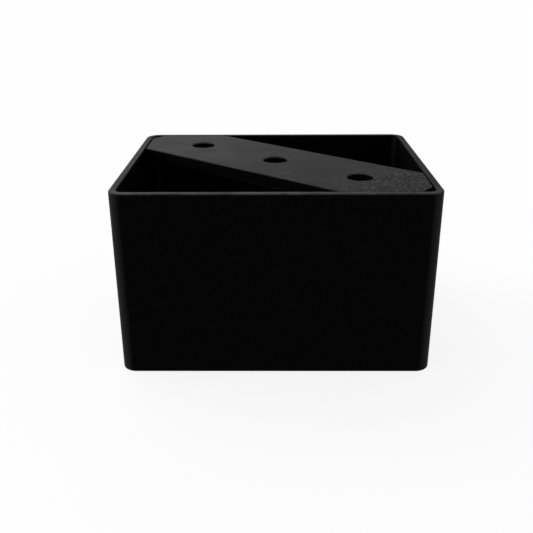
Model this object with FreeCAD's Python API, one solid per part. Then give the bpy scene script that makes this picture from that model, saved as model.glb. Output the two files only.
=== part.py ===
import FreeCAD, Part
import os
from math import atan2, cos, radians, sin

from FreeCAD import Vector

# Short box-section table leg. An open length of rectangular steel tube stands on end.
# A flat bar with screw holes is welded across its diagonal, flush with the top rim.
# Millimetres, +Z up, origin on the floor at the middle of the tube. The front is at -Y.

# Tube
tube_width = 100.0
tube_depth = 80.0
tube_height = 60.0
wall = 2.3
inner_corner_radius = 2.5
outer_rim_round = 0.5
inner_rim_round = 0.3
rim_round_limit = 0.4  # largest rounding of a rim edge, as a share of the wall

# Mounting strip, from the back left corner to the front right corner
strip_width = 33.5
strip_thickness = 4.0
strip_turn = 1.2  # degrees past the tube's diagonal, towards the front and back walls
strip_edge_round = 0.4
side_gap = 0.6  # between the strip and the left and right walls; its ends butt on the front and back walls
tip_clearance = 1.1  # how far the blunt tips stop short of the tube's rounded corners

# Screw holes, in a row along the middle of the strip
hole_diameter = 8.4
hole_pitch = 34.5
hole_count = 3
hole_chamfer = 0.4

# Fillet welds under the strip's cut ends
weld_leg = 3.0
weld_end_margin = 1.0

tiny = 1e-6

inner_width = tube_width - 2 * wall
inner_depth = tube_depth - 2 * wall
outer_corner_radius = inner_corner_radius + wall
strip_underside = tube_height - strip_thickness

strip_angle = atan2(inner_depth, inner_width) + radians(strip_turn)
along = Vector(cos(strip_angle), -sin(strip_angle), 0)


def upright_block(width, depth, radius):
    """Block as tall as the tube, centred on the origin, with its four upright edges rounded."""
    block = Part.makeBox(width, depth, tube_height, Vector(-width / 2, -depth / 2, 0))
    uprights = [edge for edge in block.Edges if edge.BoundBox.ZLength > tiny]
    return block.makeFillet(radius, uprights)


def level_edges(shape):
    """Edges that lie at one height."""
    return [edge for edge in shape.Edges if edge.BoundBox.ZLength < tiny]


def is_on_the_inside(edge):
    """True for an edge that reaches no further out than the tube's inner walls."""
    box = edge.BoundBox
    reach_x = max(box.XMax, -box.XMin)
    reach_y = max(box.YMax, -box.YMin)
    return reach_x < inner_width / 2 + tiny and reach_y < inner_depth / 2 + tiny


def make_tube():
    """Open rectangular tube with rounded corners, and with its rims eased, most of all on the outside."""
    widest_round = rim_round_limit * wall
    outside = upright_block(tube_width, tube_depth, outer_corner_radius)
    outside = outside.makeFillet(min(outer_rim_round, widest_round), level_edges(outside))
    inside = upright_block(inner_width, inner_depth, inner_corner_radius)
    tube = outside.cut(inside)
    inner_rims = [edge for edge in level_edges(tube) if is_on_the_inside(edge)]
    return tube.makeFillet(min(inner_rim_round, widest_round), inner_rims)


def strip_end_corners():
    """Plan corners of the strip's front right end, from its near edge round the tip to its far edge.

    The end butts on the front wall, runs along the right wall, and has its tip cut square.
    """
    seat_x = inner_width / 2 - side_gap
    seat_y = inner_depth / 2
    tip_cut = inner_corner_radius * max(along.x, -along.y) + tip_clearance
    reach = seat_x * along.x - seat_y * along.y - tip_cut
    half_width = strip_width / 2
    near_front = Vector((half_width - seat_y * along.x) / along.y, -seat_y, 0)
    tip_front = Vector((reach + seat_y * along.y) / along.x, -seat_y, 0)
    tip_right = Vector(seat_x, (reach - seat_x * along.x) / along.y, 0)
    far_right = Vector(seat_x, (half_width + seat_x * along.y) / along.x, 0)
    return [near_front, tip_front, tip_right, far_right]


def runs_along_the_strip(edge):
    """True for an edge of one of the strip's two long sides."""
    return abs(edge.tangentAt(edge.FirstParameter).dot(along)) > 1 - tiny


def make_strip():
    """Flat bar with rounded long edges, both ends cut to the corners, and a row of chamfered through holes."""
    end = strip_end_corners()
    outline = end + [-corner for corner in end]
    blank = Part.Face(Part.makePolygon(outline + outline[:1]))
    blank.translate(Vector(0, 0, strip_underside))
    strip = blank.extrude(Vector(0, 0, strip_thickness))
    strip = strip.makeFillet(strip_edge_round, [edge for edge in strip.Edges if runs_along_the_strip(edge)])
    for number in range(hole_count):
        centre = along * (hole_pitch * (number - (hole_count - 1) / 2))
        centre.z = strip_underside
        strip = strip.cut(Part.makeCylinder(hole_diameter / 2, strip_thickness, centre))
    hole_rims = [edge for edge in strip.Edges if isinstance(edge.Curve, Part.Circle) and edge.isClosed()]
    return strip.makeChamfer(hole_chamfer, hole_rims)


def weld_bead(length):
    """Round-ended fillet bead along X, in the corner y > 0, z < 0, made by a quarter turn about X."""
    half = length / 2
    shoulder = half - weld_leg
    lean = weld_leg * sin(radians(45))
    left_end = Part.Arc(Vector(-half, 0, 0), Vector(-shoulder - lean, lean, 0), Vector(-shoulder, weld_leg, 0))
    crown = Part.LineSegment(Vector(-shoulder, weld_leg, 0), Vector(shoulder, weld_leg, 0))
    right_end = Part.Arc(Vector(shoulder, weld_leg, 0), Vector(shoulder + lean, lean, 0), Vector(half, 0, 0))
    root = Part.LineSegment(Vector(half, 0, 0), Vector(-half, 0, 0))
    profile = Part.Wire([side.toShape() for side in (left_end, crown, right_end, root)])
    return Part.Face(profile).revolve(Vector(0, 0, 0), Vector(1, 0, 0), -90)


def placed_bead(start, finish, wall_turn, wall_distance):
    """Bead between two strip corners on one wall, in the corner of the wall and the strip's underside.

    wall_turn is the angle from the front wall to this wall, about Z.
    """
    bead = weld_bead((finish - start).Length - 2 * weld_end_margin)
    turn = FreeCAD.Rotation(Vector(0, 0, 1), wall_turn)
    offset = turn.inverted().multVec((start + finish) / 2).x
    place = turn.multVec(Vector(offset, -wall_distance, strip_underside))
    bead.Placement = FreeCAD.Placement(place, turn)
    return bead


def make_welds():
    """Four beads: two under the front right end, and the same two turned half round for the other end."""
    near_front, tip_front, tip_right, far_right = strip_end_corners()
    return {
        "weld_front": placed_bead(near_front, tip_front, 0, inner_depth / 2),
        "weld_right": placed_bead(tip_right, far_right, 90, inner_width / 2),
        "weld_back": placed_bead(-near_front, -tip_front, 180, inner_depth / 2),
        "weld_left": placed_bead(-tip_right, -far_right, 270, inner_width / 2),
    }


pieces = {"leg_tube": make_tube(), "mounting_strip": make_strip()}
pieces.update(make_welds())

os.makedirs("parts", exist_ok=True)
for name, piece in pieces.items():
    piece.exportStep(f"parts/{name}.step")
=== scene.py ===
from math import radians

import bpy
from mathutils import Matrix, Vector


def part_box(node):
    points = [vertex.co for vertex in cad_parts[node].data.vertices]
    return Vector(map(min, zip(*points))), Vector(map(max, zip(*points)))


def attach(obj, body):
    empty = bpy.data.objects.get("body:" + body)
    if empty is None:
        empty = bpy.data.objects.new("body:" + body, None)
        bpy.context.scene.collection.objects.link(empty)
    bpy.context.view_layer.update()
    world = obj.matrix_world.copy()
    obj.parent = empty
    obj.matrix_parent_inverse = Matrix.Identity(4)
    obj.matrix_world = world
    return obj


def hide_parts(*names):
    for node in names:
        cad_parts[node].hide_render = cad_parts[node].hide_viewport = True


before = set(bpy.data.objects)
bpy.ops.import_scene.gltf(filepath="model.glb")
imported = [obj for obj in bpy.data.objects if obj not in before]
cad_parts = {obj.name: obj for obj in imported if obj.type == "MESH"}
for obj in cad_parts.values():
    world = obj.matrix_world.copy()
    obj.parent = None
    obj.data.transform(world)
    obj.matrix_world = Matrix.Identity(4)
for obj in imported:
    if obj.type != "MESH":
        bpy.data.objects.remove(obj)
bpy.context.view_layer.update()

# Short box-section table leg: powder coats on its tube and strip, rippled weld beads, and a white studio.
# Metres and degrees. The leg stands on the floor at z = 0, and its front is at -Y.
MM = 0.001

# Weld beads: a row of leaning ripples, fused and settled
ripple_pitch = 1.5 * MM
ripple_half_length = 1.5 * ripple_pitch
ripple_lean = 28.0
ripple_segments = 32
ripple_rings = 16
bead_mesh_size = 0.16 * MM
settle_share = 0.5
settle_rounds = 3
cut_nearness = 1e-4 * MM  # points this close to a cut lie on it
crease_angle = 50.0

# Powder coat: matt black with an orange-peel grain
darkest_coat = (0.0004, 0.0004, 0.00042)
lightest_coat = (0.0013, 0.0013, 0.00136)
tube_shine = 0.015
strip_shine = 0.0225
tube_roughness = 0.45
strip_roughness = 0.49
roughness_spread = 0.03
tube_peel_height = 0.08 * MM
strip_peel_height = 0.14 * MM

# Painted highlights, as a paler coat: along the tube's front rim, on its rounded corners, and on the strip's
# edges
painted_highlight_coat = (0.046, 0.046, 0.047)
least_highlight = 0.4  # share of the painted highlight in its faintest patches
front_highlight_fade = (-37.5 * MM, -32.0 * MM)  # along Y, from the front rim backwards
highlight_behind = 0.15  # share of the painted highlight behind the front rim
corner_look = (0.18, 0.46)  # X part times Y part of where a face looks, a half at the middle of a corner
corner_highlight_share = 0.17

# Coarse grain and pale specks at the front right end of the strip
coarse_place = Vector((40.5, -32.5, 60.0)) * MM
coarse_radius = 24.0 * MM
coarse_fade = 0.5  # share of the radius over which the patch fades out
coarse_depth = 9.0  # times the depth of the grain elsewhere
speck_coat = (0.057, 0.057, 0.058)

# Noise: the size of its patches, its steps of finer detail, and how strong each step is
peel_noise = {"size": 1.3 * MM, "detail": 4.0, "roughness": 0.55}
flow_noise = {"size": 1 / 90, "detail": 2.0, "roughness": 0.5}  # 90 patches to the metre
highlight_patch_noise = {"size": 9.0 * MM, "detail": 3.0, "roughness": 0.6}
speck_noise = {"size": 0.9 * MM, "detail": 1.0, "roughness": 0.5}

# Ranges, from start to finish
whole = (0.0, 1.0)
usual_noise = (0.3, 0.7)
highlight_patch_range = (0.35, 0.65)
speck_grains = (0.56, 0.73)

# Shares by how far a face looks upwards: pairs of that look, from nought to one, and the share there
# Painted highlights: on the strip's upward roundings, and on the tube's roundings and rim tops
highlight_on_edges = ((0.2, 0.0), (0.6, 1.0), (0.85, 1.0), (0.97, 0.12))
highlight_on_edges_and_rim = ((0.2, 0.0), (0.6, 1.0))
specked_on_top = ((0.9, 0.0), (0.99, 1.0))

# Studio
floor_size = 12.0
floor_gap = 0.02 * MM
floor_grey = 0.93
floor_glow = 0.85
key_turn_left = 26.0
key_height_angle = 36.0
key_strength = 1.15
key_softness = 55.0
side_turn_left = 75.0
side_height_angle = 18.0
side_strength = 1.6
side_softness = 40.0
room_grey = 0.65

# Camera, from the photograph's perspective. The picture is square and its optical axis is at its middle.
camera_place = Vector((-0.9, -237.2, 120.7)) * MM
camera_pitch_down = 22.98
camera_turn_left = 0.56
camera_roll = -0.275
camera_lens = 47.6
camera_sensor = 36.0
camera_clip_start = 10.0 * MM


def deselect_all():
    """Leaves nothing selected, so that an operator acts on the new piece alone."""
    bpy.ops.object.select_all(action="DESELECT")


def coat(piece, material):
    """Gives a piece one material."""
    piece.data.materials.clear()
    piece.data.materials.append(material)


def node_material(name):
    """New node material; returns it with its tree and its main shader."""
    material = bpy.data.materials.new(name)
    material.use_nodes = True
    tree = material.node_tree
    return material, tree, tree.nodes["Principled BSDF"]


def calculated(tree, operation, *values):
    """Result of one sum on one or two values."""
    node = tree.nodes.new("ShaderNodeMath")
    node.operation = operation
    for value, socket in zip(values, node.inputs):
        tree.links.new(value, socket)
    return node.outputs["Value"]


def spread(tree, value, source, target=whole):
    """Value that goes through the target range, and no further, as another goes through the source range."""
    node = tree.nodes.new("ShaderNodeMapRange")
    node.inputs["From Min"].default_value = source[0]
    node.inputs["From Max"].default_value = source[1]
    node.inputs["To Min"].default_value = target[0]
    node.inputs["To Max"].default_value = target[1]
    tree.links.new(value, node.inputs["Value"])
    return node.outputs["Result"]


def parts_of(tree, vector):
    """The X, Y and Z outputs of a vector."""
    node = tree.nodes.new("ShaderNodeSeparateXYZ")
    tree.links.new(vector, node.inputs["Vector"])
    return node.outputs


def mixed(tree, share, first, second):
    """Colour between two others. The first may be a colour or a socket."""
    shade = tree.nodes.new("ShaderNodeMix")
    shade.data_type = "RGBA"
    shade.inputs["B"].default_value = (*second, 1.0)
    if isinstance(first, tuple):
        shade.inputs["A"].default_value = (*first, 1.0)
    else:
        tree.links.new(first, shade.inputs["A"])
    tree.links.new(share, shade.inputs["Factor"])
    return shade.outputs["Result"]


def mixed_shader(tree, share, first, second):
    """Shader between two others."""
    node = tree.nodes.new("ShaderNodeMixShader")
    tree.links.new(share, node.inputs["Fac"])
    tree.links.new(first, node.inputs[1])
    tree.links.new(second, node.inputs[2])
    return node.outputs["Shader"]


def noise(tree, place, size, detail, roughness):
    """Noise on the given coordinates."""
    texture = tree.nodes.new("ShaderNodeTexNoise")
    texture.inputs["Scale"].default_value = 1 / size
    texture.inputs["Detail"].default_value = detail
    texture.inputs["Roughness"].default_value = roughness
    tree.links.new(place, texture.inputs["Vector"])
    return texture.outputs["Fac"]


def by_upward_look(tree, facing, stops):
    """Share that depends on how far a face looks upwards, through the given stops."""
    band = tree.nodes.new("ShaderNodeValToRGB")
    elements = band.color_ramp.elements
    for upward, _ in stops[1:-1]:
        elements.new(upward)
    for element, (upward, share) in zip(elements, stops):
        element.position = upward
        element.color = (share, share, share, 1.0)
    tree.links.new(parts_of(tree, facing)["Z"], band.inputs["Fac"])
    return band.outputs["Color"]


def front_highlight(tree, place):
    """Share of painted highlight: one along the front rim of the tube, and a small share behind it."""
    return spread(tree, parts_of(tree, place)["Y"], front_highlight_fade, (1.0, highlight_behind))


def corner_highlight(tree, facing):
    """Share of painted highlight: small on the rounded upright corners, which look between two walls, and
    nought on the walls.
    """
    parts = parts_of(tree, facing)
    both_ways = calculated(tree, "MULTIPLY", parts["X"], parts["Y"])
    return spread(tree, calculated(tree, "ABSOLUTE", both_ways), corner_look, (0.0, corner_highlight_share))


def coarse_patch(tree, place):
    """One near the front right end of the strip, falling to nought elsewhere."""
    around = tree.nodes.new("ShaderNodeMapping")
    around.inputs["Location"].default_value = -coarse_place / coarse_radius
    around.inputs["Scale"].default_value = Vector((1, 1, 1)) / coarse_radius
    tree.links.new(place, around.inputs["Vector"])
    ball = tree.nodes.new("ShaderNodeTexGradient")
    ball.gradient_type = "SPHERICAL"
    tree.links.new(around.outputs["Vector"], ball.inputs["Vector"])
    return spread(tree, ball.outputs["Fac"], (0.0, coarse_fade))


def powder_coat(name, shine, roughness, peel_height, highlight_stops=None, rim_and_corner_highlights=False, coarse_end=False):
    """Matt black powder coat with an orange-peel grain.

    It has a painted highlight, a paler coat, on faces that look as the given stops say. When asked, as on
    the tube, that highlight is mostly at the front, and the upright corners get a slight painted highlight.
    With coarse_end, the front right end is coarse and specked.
    """
    material, tree, shader = node_material(name)
    coordinates = tree.nodes.new("ShaderNodeTexCoord")
    place = coordinates.outputs["Object"]
    facing = coordinates.outputs["Normal"]
    peel = noise(tree, place, **peel_noise)
    height = peel

    shade = mixed(tree, spread(tree, peel, usual_noise), darkest_coat, lightest_coat)
    # Painted highlight on the rounded upright corners, in the paler coat
    if rim_and_corner_highlights:
        shade = mixed(tree, corner_highlight(tree, facing), shade, painted_highlight_coat)
    # Painted highlight on faces that look upwards, on the tube mostly along its front rim
    if highlight_stops:
        patches = spread(tree, noise(tree, place, **highlight_patch_noise), highlight_patch_range, (least_highlight, 1.0))
        highlight_share = calculated(tree, "MULTIPLY", by_upward_look(tree, facing, highlight_stops), patches)
        if rim_and_corner_highlights:
            highlight_share = calculated(tree, "MULTIPLY", highlight_share, front_highlight(tree, place))
        shade = mixed(tree, highlight_share, shade, painted_highlight_coat)
    if coarse_end:
        patch = coarse_patch(tree, place)
        top_patch = calculated(tree, "MULTIPLY", patch, by_upward_look(tree, facing, specked_on_top))
        specks = spread(tree, noise(tree, place, **speck_noise), speck_grains)
        shade = mixed(tree, calculated(tree, "MULTIPLY", top_patch, specks), shade, speck_coat)
        height = calculated(tree, "MULTIPLY", peel, spread(tree, patch, whole, (1.0, coarse_depth)))
    tree.links.new(shade, shader.inputs["Base Color"])

    roughness_range = (roughness - roughness_spread, roughness + roughness_spread)
    uneven = spread(tree, noise(tree, place, **flow_noise), usual_noise, roughness_range)
    tree.links.new(uneven, shader.inputs["Roughness"])
    shader.inputs["Specular IOR Level"].default_value = shine

    bump = tree.nodes.new("ShaderNodeBump")
    bump.inputs["Distance"].default_value = peel_height
    tree.links.new(height, bump.inputs["Height"])
    tree.links.new(bump.outputs["Normal"], shader.inputs["Normal"])
    return material


def apply_modifier(piece, name, kind, **settings):
    """Gives a piece a modifier with the given settings, and applies it."""
    modifier = piece.modifiers.new(name, kind)
    for setting, value in settings.items():
        setattr(modifier, setting, value)
    bpy.ops.object.modifier_apply(modifier=modifier.name)


def row_of_ripples(leg, count):
    """Round bar along X about the origin, as thick as two legs, made of leaning ripples fused into one."""
    bpy.ops.mesh.primitive_uv_sphere_add(segments=ripple_segments, ring_count=ripple_rings, radius=leg)
    bar = bpy.context.object
    bpy.ops.object.mode_set(mode="EDIT")
    bpy.ops.mesh.select_all(action="SELECT")
    bpy.ops.transform.resize(value=(ripple_half_length / leg, 1, 1))
    bpy.ops.transform.rotate(value=radians(ripple_lean), orient_axis="Y", center_override=(0, 0, 0))
    bpy.ops.transform.translate(value=(-(count - 1) * ripple_pitch / 2, 0, 0))
    bpy.ops.object.mode_set(mode="OBJECT")

    apply_modifier(
        bar, "row of ripples", "ARRAY", count=count, use_relative_offset=False,
        use_constant_offset=True, constant_offset_displace=(ripple_pitch, 0, 0),
    )
    apply_modifier(
        bar, "one bead", "REMESH", mode="VOXEL", voxel_size=bead_mesh_size, use_smooth_shade=True,
    )
    apply_modifier(bar, "settled weld", "SMOOTH", factor=settle_share, iterations=settle_rounds)
    return bar


def rippled_bead(node, wall_normal):
    """Weld bead that stands for one CAD bead, in the corner of a wall and the strip's underside.

    wall_normal points from the wall into the tube. The bead runs along the wall.
    """
    low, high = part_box(node)
    middle = (low + high) / 2
    leg = high.z - low.z
    length = max(high.x - low.x, high.y - low.y)
    corner = Vector((middle.x, middle.y, high.z)) - wall_normal * leg / 2

    deselect_all()
    bead = row_of_ripples(leg, round((length - 2 * leg) / ripple_pitch) + 1)
    bead.name = node + "_bead"
    bpy.ops.object.mode_set(mode="EDIT")
    for inwards in ((0, 1, 0), (0, 0, -1)):
        bpy.ops.mesh.select_all(action="SELECT")
        bpy.ops.mesh.bisect(
            plane_co=(0, 0, 0), plane_no=inwards, use_fill=True, clear_inner=True, threshold=cut_nearness
        )
    bpy.ops.object.mode_set(mode="OBJECT")
    bead.rotation_euler = (0, 0, -Vector((0, 1)).angle_signed(wall_normal.xy))
    bead.location = corner
    bpy.ops.object.transform_apply(location=True, rotation=True, scale=True)
    bpy.ops.object.shade_smooth_by_angle(angle=radians(crease_angle))
    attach(bead, "root")
    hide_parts(node)
    return bead


def seen_or_reflected(tree):
    """One for rays from the camera, from gloss and through glass, and nought for the light on things."""
    rays = tree.nodes.new("ShaderNodeLightPath").outputs
    direct = calculated(tree, "MAXIMUM", rays["Is Camera Ray"], rays["Is Glossy Ray"])
    return calculated(tree, "MAXIMUM", direct, rays["Is Transmission Ray"])


def lay_floor():
    """White floor, wide enough to reach past every view's horizon. It keeps a faint shadow.

    It is clear from below, so that the underside of the leg can be looked at.
    """
    deselect_all()
    bpy.ops.mesh.primitive_plane_add(size=floor_size, location=(0, 0, -floor_gap))
    floor = bpy.context.object
    floor.name = "studio_floor"
    material, tree, shader = node_material("floor_paper")
    shader.inputs["Base Color"].default_value = (floor_grey, floor_grey, floor_grey, 1.0)
    shader.inputs["Roughness"].default_value = 1.0
    shader.inputs["Specular IOR Level"].default_value = 0.0
    glow = tree.nodes.new("ShaderNodeEmission")
    glow_share = spread(tree, seen_or_reflected(tree), whole, (0.0, floor_glow))
    paper = mixed_shader(tree, glow_share, shader.outputs["BSDF"], glow.outputs["Emission"])
    side = tree.nodes.new("ShaderNodeNewGeometry")
    clear = tree.nodes.new("ShaderNodeBsdfTransparent")
    from_above = mixed_shader(tree, side.outputs["Backfacing"], paper, clear.outputs["BSDF"])
    tree.links.new(from_above, tree.nodes["Material Output"].inputs["Surface"])
    coat(floor, material)


def soft_sun(name, strength, softness, turn_left, height_angle):
    """Wide, far lamp. It stands behind the leg, turned to the left by an angle, and as high as an angle."""
    sun = bpy.data.lights.new(name, "SUN")
    sun.energy = strength
    sun.angle = radians(softness)
    lamp = bpy.data.objects.new(name, sun)
    bpy.context.scene.collection.objects.link(lamp)
    turn = Matrix.Rotation(radians(turn_left), 4, "Z")
    tilt = Matrix.Rotation(radians(height_angle - 90), 4, "X")
    lamp.matrix_world = turn @ tilt


def set_lights():
    """Soft lights from behind and from the left, in a grey room that the camera and gloss see as white."""
    soft_sun("key_light", key_strength, key_softness, key_turn_left, key_height_angle)
    soft_sun("side_light", side_strength, side_softness, side_turn_left, side_height_angle)

    world = bpy.data.worlds.new("white_room")
    bpy.context.scene.world = world
    world.use_nodes = True
    tree = world.node_tree
    room = tree.nodes["Background"]
    room.inputs["Color"].default_value = (room_grey, room_grey, room_grey, 1.0)
    white = tree.nodes.new("ShaderNodeBackground")
    white.inputs["Color"].default_value = (1.0, 1.0, 1.0, 1.0)
    choice = mixed_shader(
        tree, seen_or_reflected(tree), room.outputs["Background"], white.outputs["Background"]
    )
    tree.links.new(choice, tree.nodes["World Output"].inputs["Surface"])


def set_camera():
    """Camera at the photograph's place, angle and field of view."""
    lens = bpy.data.cameras.new("photo_camera")
    lens.lens = camera_lens
    lens.sensor_width = camera_sensor
    lens.clip_start = camera_clip_start
    lens.clip_end = floor_size
    camera = bpy.data.objects.new("photo_camera", lens)
    bpy.context.scene.collection.objects.link(camera)
    turn = Matrix.Rotation(radians(camera_turn_left), 4, "Z")
    pitch = Matrix.Rotation(radians(90 - camera_pitch_down), 4, "X")
    roll = Matrix.Rotation(radians(camera_roll), 4, "Z")
    camera.matrix_world = Matrix.Translation(camera_place) @ turn @ pitch @ roll
    bpy.context.scene.camera = camera


# Both coats carry painted highlights on their upward roundings; the tube's also on its front rim and upright
# corners
tube_coat = powder_coat(
    "tube_coat", tube_shine, tube_roughness, tube_peel_height, highlight_on_edges_and_rim, rim_and_corner_highlights=True
)
strip_coat = powder_coat(
    "strip_coat", strip_shine, strip_roughness, strip_peel_height, highlight_on_edges, coarse_end=True
)
weld_coat = powder_coat("weld_coat", tube_shine, tube_roughness, tube_peel_height)
coat(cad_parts["leg_tube"], tube_coat)
coat(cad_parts["mounting_strip"], strip_coat)

wall_normals = {"front": (0, 1, 0), "right": (-1, 0, 0), "back": (0, -1, 0), "left": (1, 0, 0)}
for wall_name, normal in wall_normals.items():
    coat(rippled_bead("weld_" + wall_name, Vector(normal)), weld_coat)

lay_floor()
set_lights()
set_camera()
bpy.context.scene.view_settings.view_transform = "Standard"
